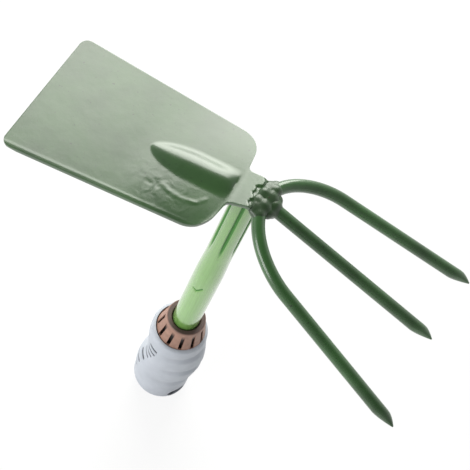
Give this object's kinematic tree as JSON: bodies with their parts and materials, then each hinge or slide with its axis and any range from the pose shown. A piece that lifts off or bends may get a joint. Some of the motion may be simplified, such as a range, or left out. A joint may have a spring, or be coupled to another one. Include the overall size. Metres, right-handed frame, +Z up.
{
  "type": "hand hoe and cultivator",
  "caption": "Short garden hand tool: a stamped hoe blade with a pressed rib on one side, round pointed tines on the other, on a tube handle with a slotted collar and a soft contoured grip",
  "frame": {"origin": "centre of the flat butt face, on the axis of the handle tube", "axes": "+Z runs up the handle from butt to head, +Y points to the tines and -Y to the blade, +X is the side of the blade seen nearest in the picture"},
  "size_m": [0.0981, 0.2353, 0.2448],
  "materials": {
    "head_paint": "glossy grey-green paint, thick and slightly lumpy",
    "handle_tube": "light green glossy metallic coating",
    "collar_plastic": "brown, satin",
    "core_plastic": "near black, hidden",
    "grip_rubber": "soft matt light bluish grey"
  },
  "bodies": {
    "root": {"blade": "head_paint", "outer_tine_bow": "head_paint", "centre_tine": "head_paint", "neck_weld": "head_paint", "centre_tine_weld": "head_paint", "tang": "head_paint", "tang_weld": "head_paint", "tube": "handle_tube", "collar": "collar_plastic", "grip_core": "core_plastic", "grip_sleeve": "grip_rubber"}
  },
  "joints": []
}
